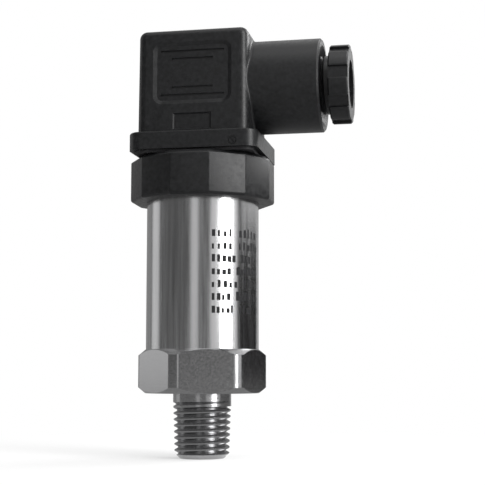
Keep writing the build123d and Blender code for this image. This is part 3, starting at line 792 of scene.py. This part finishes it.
def make_floor(settings):
    """A plain white floor that keeps the object's shadow and fades into the background."""
    material, tree = start_bare_material("pale floor")
    where = add(tree, "ShaderNodeTexCoord").outputs["Object"]
    inputs = {0: where, 1: (1.0, 1.0, 0.0)}
    flat = add(tree, "ShaderNodeVectorMath", inputs, operation="MULTIPLY").outputs[0]
    away = add(tree, "ShaderNodeVectorMath", {0: flat}, operation="LENGTH").outputs["Value"]
    near, far = FLOOR_FADE
    inputs = {"Value": away, "From Min": near, "From Max": far}
    fade = add(tree, "ShaderNodeMapRange", inputs).outputs["Result"]
    whiter = calculate(tree, "MULTIPLY", fade, 1 - FLOOR_LEAST_WHITE)
    white_share = calculate(tree, "ADD", whiter, FLOOR_LEAST_WHITE)
    share = calculate(tree, "MULTIPLY", seen_straight(tree), white_share)
    pale = (FLOOR_LEVEL, FLOOR_LEVEL, FLOOR_LEVEL, 1.0)
    matt = add(tree, "ShaderNodeBsdfDiffuse", {"Color": pale}).outputs[0]
    white = add_glow(tree, "ShaderNodeEmission", 1.0)
    end_surface(tree, add(tree, "ShaderNodeMixShader", {0: share, 1: matt, 2: white}).outputs[0])
    disc = ring(FLOOR_RADIUS, settings.floor_height)
    make_stage_piece("floor", disc, [tuple(range(DISC_SIDES))], material)


def make_panel(name, points, faces, level):
    """One grey card of a plain level, which only polished surfaces show."""
    material, tree = start_bare_material(name)
    end_surface(tree, add_glow(tree, "ShaderNodeEmission", level))
    panel = make_stage_piece(name, points, faces, material)
    panel.visible_camera = False
    panel.visible_diffuse = False
    panel.visible_shadow = False
    panel.visible_transmission = False


def make_panels(settings):
    """Upright grey panels round the object and a level one under it."""
    facing_camera = -pi / 2 + settings.camera_turn[2]
    reach = settings.panel_distance
    for name, start, end, bottom, top, level in PANELS:
        steps = max(2, (end - start) // PANEL_ANGLE)
        turns = [
            facing_camera + radians(start + (end - start) * i / steps) for i in range(steps + 1)
        ]
        heights = (settings.floor_height + bottom, settings.floor_height + top)
        points = [(reach * cos(turn), reach * sin(turn), z) for z in heights for turn in turns]
        above = steps + 1
        faces = [(i, i + 1, above + i + 1, above + i) for i in range(steps)]
        make_panel(name, points, faces, level)
    disc = ring(reach, settings.floor_height + TABLE_RISE)
    make_panel("panel_table", disc, [tuple(range(DISC_SIDES))], TABLE_LEVEL)


def make_lights(settings):
    """A soft key light from the camera's right, a weak one above and one from the right rear."""
    facing_camera = -pi / 2 + settings.camera_turn[2]
    for name, turn, distance, height, width, length, share in LIGHTS:
        data = bpy.data.lights.new(name, "AREA")
        data.shape = "RECTANGLE"
        data.size = width
        data.size_y = length
        data.energy = share * settings.key_power
        light = link_object(name, data)
        angle = facing_camera + radians(turn)
        light.location = (distance * cos(angle), distance * sin(angle), height)
        light.rotation_euler = (LIT_POINT - light.location).to_track_quat("-Z", "Y").to_euler()


def make_world(scene):
    """A world that is white where it is seen, and a plain soft light otherwise."""
    world = bpy.data.worlds.new("studio")
    world.use_nodes = True
    tree = world.node_tree
    tree.nodes.clear()
    white = add_glow(tree, "ShaderNodeBackground", 1.0)
    soft = add_glow(tree, "ShaderNodeBackground", 1.0, WORLD_LEVEL)
    inputs = {0: seen_straight(tree), 1: soft, 2: white}
    mixed = add(tree, "ShaderNodeMixShader", inputs).outputs[0]
    end_surface(tree, mixed, "ShaderNodeOutputWorld")
    scene.world = world


# Operators, one for each piece or group of like pieces and one for the studio


class TRANSMITTER_OT_stage(bpy.types.Operator):
    """Sets up the camera, the floor, the panels and the light"""

    bl_idname = "transmitter.stage"
    bl_label = "Studio"

    def execute(self, context):
        settings = context.scene.stage_settings
        make_camera(context.scene, settings)
        make_floor(settings)
        make_panels(settings)
        make_lights(settings)
        make_world(context.scene)
        context.scene.view_settings.view_transform = "Standard"
        return {"FINISHED"}


class TRANSMITTER_OT_process_connection(bpy.types.Operator):
    """Cuts the tapered thread into the process connection and gives it its turned finish"""

    bl_idname = "transmitter.process_connection"
    bl_label = "Process connection"

    def execute(self, context):
        sizes = context.scene.process_thread
        looks = context.scene.finish_colours
        steel = steel_finish(
            "turned steel", looks.turned_steel, looks.steel_roughness,
            line_pitch=0.16 * MM, line_depth=0.006 * MM, cloud=0.45 * MM, change=0.07,
            streak=PLAIN,
        )
        piece = copy_of_node("process_connection", "threaded_connection")
        thread = {
            "Crest radius": sizes.crest_radius,
            "Taper": sizes.taper,
            "Pitch": sizes.pitch,
            "Depth": sizes.depth,
            "Top": sizes.top,
            "Turns": (sizes.top - CONNECTION_LOW.z) / sizes.pitch + SPARE_TURNS,
        }
        cut_thread(piece, "thread_groove", steel, thread)
        stand_in(piece, "process_connection", "transmitter", steel)
        paint_nodes(steel, "clamp_ring")
        return {"FINISHED"}


class TRANSMITTER_OT_housing_tube(bpy.types.Operator):
    """Finishes the steel tube and marks the rows of ticks on it"""

    bl_idname = "transmitter.housing_tube"
    bl_label = "Housing tube"

    def execute(self, context):
        sizes = context.scene.field_marks
        looks = context.scene.finish_colours
        steel = steel_finish(
            "belt ground steel", looks.steel, looks.steel_roughness,
            line_pitch=0.2 * MM, line_depth=0.007 * MM, cloud=0.8 * MM, change=0.13,
            streak=DOWN_THE_TUBE,
        )
        paint_nodes(steel, "housing_tube")
        all_rows = (sizes.rows - 1) * sizes.row_pitch
        plan = {
            "Rows": sizes.rows,
            "Ticks": sizes.ticks,
            "Row pitch": sizes.row_pitch,
            "Tick pitch": sizes.tick_pitch,
            "Tick width": sizes.tick_width,
            "Tick height": sizes.tick_height,
            "Thickness": 2 * sizes.rise,
            "Radius": (TUBE_HIGH.x - TUBE_LOW.x) / 2 + sizes.rise,
            "Start angle": sizes.start_angle,
            "Lowest row": (TUBE_LOW.z + TUBE_HIGH.z - all_rows) / 2 - sizes.drop,
        }
        marks = grow_piece("field_marks", field_mark_tree(mark_finish("laser oxide")), plan)
        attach(marks, "transmitter")
        return {"FINISHED"}


class TRANSMITTER_OT_mouldings(bpy.types.Operator):
    """Finishes the black plug housing, and rounds and finishes the connector base"""

    bl_idname = "transmitter.mouldings"
    bl_label = "Black mouldings"

    def execute(self, context):
        looks = context.scene.finish_colours
        black = moulded_finish(
            "black glass filled plastic", looks.moulding, looks.moulding_roughness,
            grain=0.16 * MM, depth=0.006 * MM, mottle=0.45,
        )
        paint_nodes(black, "plug_housing")
        piece = copy_of_node("connector_base", "collared_base")
        rim = COLLAR_RIM * (BASE_HIGH.x - BASE_LOW.x) / 2

        def on_the_collar(edge):
            """True on the edges round the collar's twelve sides."""
            return all(hypot(corner.co.x, corner.co.y) > rim for corner in edge.verts)

        round_edges(piece, context.scene.fine_threads.softening, on_the_collar)
        smooth_by_angle(piece)
        stand_in(piece, "connector_base", "transmitter", black)
        return {"FINISHED"}


class TRANSMITTER_OT_gland(bpy.types.Operator):
    """Rounds the gland screw's lobes, cuts its thread and finishes it"""

    bl_idname = "transmitter.gland"
    bl_label = "Gland screw"

    def execute(self, context):
        looks = context.scene.finish_colours
        sizes = context.scene.fine_threads
        black = moulded_finish(
            "gland plastic", looks.gland, roughness=0.34,
            grain=0.2 * MM, depth=0.005 * MM, mottle=0.5,
        )
        piece = copy_of_node("gland_screw", "lobed_gland_screw")
        rim = (GLAND_HIGH.z - GLAND_LOW.z) / 2 - 2 * sizes.softening

        def on_a_lobe(edge):
            """True on the long edges of the lobes, on the outside of the head."""
            first, last = (corner.co for corner in edge.verts)
            out = min(hypot(end.y, end.z - GLAND_AXIS_HEIGHT) for end in (first, last))
            return out > rim and abs(first.x - last.x) > LENGTHWISE * edge.calc_length()

        round_edges(piece, sizes.softening, on_a_lobe)
        thread = {
            "Crest radius": sizes.gland_radius,
            "Pitch": sizes.gland_pitch,
            "Depth": sizes.gland_depth,
            "Top": GLAND_HIGH.x - sizes.gland_start,
            "Turns": sizes.gland_length / sizes.gland_pitch,
        }
        cut_thread(piece, "gland_groove", black, thread, GLAND_AXIS)
        stand_in(piece, "gland_screw", "gland_screw", black)
        return {"FINISHED"}


class TRANSMITTER_OT_screws(bpy.types.Operator):
    """Cuts the plug screw's thread and finishes the plated screws and the gland washer"""

    bl_idname = "transmitter.screws"
    bl_label = "Screws"

    def execute(self, context):
        sizes = context.scene.fine_threads
        zinc = plated_finish("zinc steel", (0.55, 0.56, 0.58, 1.0), roughness=0.3)
        piece = copy_of_node("plug_screw", "threaded_plug_screw")
        thread = {
            "Crest radius": sizes.screw_radius,
            "Pitch": sizes.screw_pitch,
            "Depth": sizes.screw_depth,
            "Top": SCREW_LOW.z + sizes.screw_length,
            "Turns": sizes.screw_length / sizes.screw_pitch + SPARE_TURNS,
            "Steps": FINE_STEPS,
        }
        cut_thread(piece, "screw_groove", zinc, thread)
        stand_in(piece, "plug_screw", "plug_screw", zinc)
        paint_nodes(zinc, "gland_washer", "clamp_screws")
        return {"FINISHED"}


class TRANSMITTER_OT_seals(bpy.types.Operator):
    """Finishes every rubber seal and gasket"""

    bl_idname = "transmitter.seals"
    bl_label = "Seals"

    def execute(self, context):
        rubber = rubber_finish("black rubber")
        paint_nodes(
            rubber, "cell_seal", "base_seal", "plug_gasket", "screw_washer", "gland_seal"
        )
        return {"FINISHED"}


class TRANSMITTER_OT_contacts(bpy.types.Operator):
    """Finishes the blades, the contacts, the insert and the terminal block"""

    bl_idname = "transmitter.contacts"
    bl_label = "Contacts"

    def execute(self, context):
        blade = plated_finish("tinned blade", (0.66, 0.66, 0.64, 1.0), roughness=0.26)
        paint_nodes(blade, "pin_1", "pin_2", "pin_3", "earth_pin")
        contact = plated_finish("tinned contact", (0.62, 0.62, 0.6, 1.0), roughness=0.34)
        paint_nodes(contact, "contact_1", "contact_2", "contact_3", "earth_contact")
        brass = plated_finish("brass", (0.72, 0.5, 0.2, 1.0), roughness=0.24, streak=PLAIN)
        paint_nodes(brass, "screw_insert")
        grey = moulded_finish(
            "grey plastic", (0.2, 0.205, 0.21, 1.0), roughness=0.45,
            grain=0.2 * MM, depth=0.006 * MM,
        )
        paint_nodes(grey, "terminal_block")
        return {"FINISHED"}


class TRANSMITTER_OT_sensor(bpy.types.Operator):
    """Finishes the pressure cell and its leads"""

    bl_idname = "transmitter.sensor"
    bl_label = "Pressure cell"

    def execute(self, context):
        paint_nodes(ceramic_finish("fired ceramic"), "pressure_cell")
        wire = plated_finish("tinned wire", (0.7, 0.7, 0.68, 1.0), roughness=0.22)
        paint_nodes(wire, "cell_leads")
        return {"FINISHED"}


class TRANSMITTER_OT_electronics(bpy.types.Operator):
    """Finishes the boards, their carrier and the parts soldered to them"""

    bl_idname = "transmitter.electronics"
    bl_label = "Electronics"

    def execute(self, context):
        paint_nodes(board_finish("lacquered board"), "circuit_board", "link_board")
        for name, node, colour, roughness in (
            ("ivory plastic", "board_carrier", (0.62, 0.57, 0.44, 1.0), 0.45),
            ("chip resin", "amplifier_chip", (0.018, 0.018, 0.019, 1.0), 0.5),
            ("capacitor ceramic", "board_capacitors", (0.36, 0.22, 0.11, 1.0), 0.4),
            ("trimmer plastic", "board_trimmers", (0.03, 0.11, 0.4, 1.0), 0.38),
        ):
            finish = moulded_finish(name, colour, roughness, grain=0.12 * MM, depth=0.004 * MM)
            paint_nodes(finish, node)
        return {"FINISHED"}


class TRANSMITTER_PT_panel(bpy.types.Panel):
    """Lists the pieces and the sizes that a user may change"""

    bl_idname = "TRANSMITTER_PT_panel"
    bl_label = "Pressure transmitter"
    bl_space_type = "VIEW_3D"
    bl_region_type = "UI"
    bl_category = "Transmitter"

    def draw(self, context):
        for operator in OPERATORS:
            self.layout.operator(operator.bl_idname)
        for name in SETTINGS:
            box = self.layout.box()
            group = getattr(context.scene, name)
            for key in group.bl_rna.properties.keys():
                if key not in {"rna_type", "name"}:
                    box.prop(group, key)


SETTINGS = {
    "process_thread": ProcessThreadSizes,
    "fine_threads": FineThreadSizes,
    "field_marks": FieldMarkSizes,
    "finish_colours": FinishColours,
    "stage_settings": StageSettings,
}
OPERATORS = (
    TRANSMITTER_OT_stage,
    TRANSMITTER_OT_process_connection,
    TRANSMITTER_OT_housing_tube,
    TRANSMITTER_OT_mouldings,
    TRANSMITTER_OT_gland,
    TRANSMITTER_OT_screws,
    TRANSMITTER_OT_seals,
    TRANSMITTER_OT_contacts,
    TRANSMITTER_OT_sensor,
    TRANSMITTER_OT_electronics,
)


def register():
    """Registers every class and hangs the settings on the scene."""
    for group in SETTINGS.values():
        bpy.utils.register_class(group)
    for kind in (*OPERATORS, TRANSMITTER_PT_panel):
        bpy.utils.register_class(kind)
    for name, group in SETTINGS.items():
        setattr(bpy.types.Scene, name, bpy.props.PointerProperty(type=group))


def unregister():
    """Takes everything back out."""
    for name in SETTINGS:
        delattr(bpy.types.Scene, name)
    for kind in (TRANSMITTER_PT_panel, *reversed(OPERATORS), *reversed(SETTINGS.values())):
        bpy.utils.unregister_class(kind)


def main():
    """Dresses the whole transmitter."""
    register()
    for operator in OPERATORS:
        group, name = operator.bl_idname.split(".")
        getattr(getattr(bpy.ops, group), name)()


if __name__ == "__main__":
    main()
